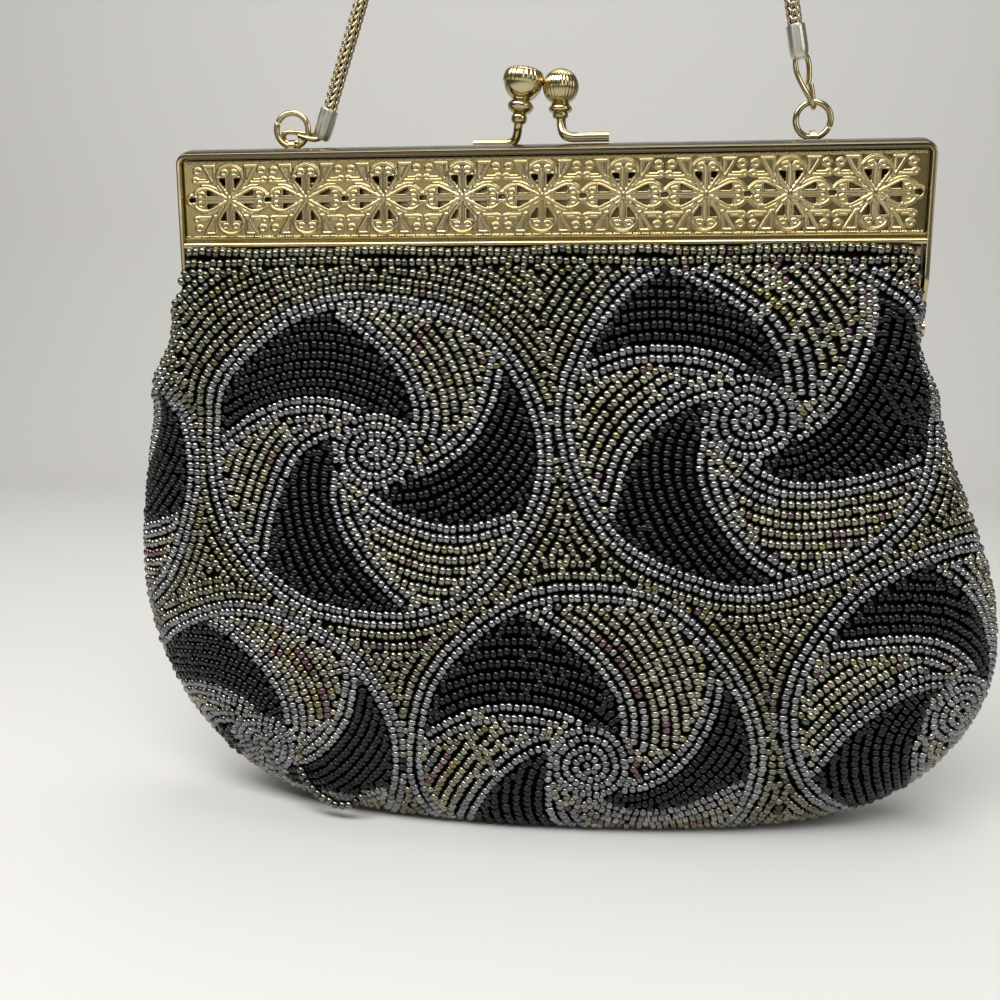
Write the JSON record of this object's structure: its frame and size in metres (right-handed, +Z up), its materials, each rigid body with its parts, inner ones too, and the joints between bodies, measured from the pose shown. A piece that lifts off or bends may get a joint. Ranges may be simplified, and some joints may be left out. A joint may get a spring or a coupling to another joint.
{
  "type": "kiss lock frame purse",
  "caption": "Small beaded evening purse with a hinged metal frame, pierced filigree bands, a two-ball kiss lock and a chain handle on rings.",
  "frame": {"origin": "on the table under the middle of the bag's outer box, the chain and its end caps left out", "axes": "+X along the frame to the right as seen from the front, +Y to the back, +Z up"},
  "size_m": [0.182, 0.043, 0.2592],
  "materials": {
    "gold_plate": "polished gold plate",
    "filigree_plate": "stamped gold plate, dark in the recesses",
    "chain_metal": "antique silver-gold",
    "beaded_cloth": "glossy glass seed beads sewn on dark cloth",
    "satin": "satin"
  },
  "bodies": {
    "pouch": {"front_panel": "beaded_cloth", "back_panel": "beaded_cloth", "front_lining": "satin", "back_lining": "satin", "left_gusset_tab": "satin", "right_gusset_tab": "satin", "left_hinge_rivet": "gold_plate", "right_hinge_rivet": "gold_plate"},
    "front_half": {"front_frame": "gold_plate", "front_filigree": "filigree_plate", "front_collar": "beaded_cloth", "front_collar_lining": "satin", "front_binding_strip": "gold_plate", "front_clasp_arm": "gold_plate", "front_clasp_ball": "gold_plate"},
    "back_half": {"back_frame": "gold_plate", "back_filigree": "filigree_plate", "back_collar": "beaded_cloth", "back_collar_lining": "satin", "back_binding_strip": "gold_plate", "back_clasp_arm": "gold_plate", "back_clasp_ball": "gold_plate", "left_ring_lug": "gold_plate", "right_ring_lug": "gold_plate"},
    "handle": {"left_ring": "gold_plate", "right_ring": "gold_plate", "left_hook": "chain_metal", "right_hook": "chain_metal", "left_end_cap": "chain_metal", "right_end_cap": "chain_metal", "handle_chain": "chain_metal"}
  },
  "joints": [
    {"name": "front_half_open", "type": "hinge", "parent": "pouch", "child": "front_half", "pos_m": [0, 0, 0.104], "axis": [1, 0, 0], "range_deg": [0, 45]},
    {"name": "back_half_open", "type": "hinge", "parent": "pouch", "child": "back_half", "pos_m": [0, 0, 0.104], "axis": [1, 0, 0], "range_deg": [-45, 0]},
    {"name": "handle_swing", "type": "hinge", "parent": "back_half", "child": "handle", "pos_m": [0, 0.003, 0.14127], "axis": [1, 0, 0], "range_deg": [-75, 60]}
  ],
  "couplings": [
    {"joint": "back_half_open", "follows": "front_half_open", "ratio": -1}
  ]
}
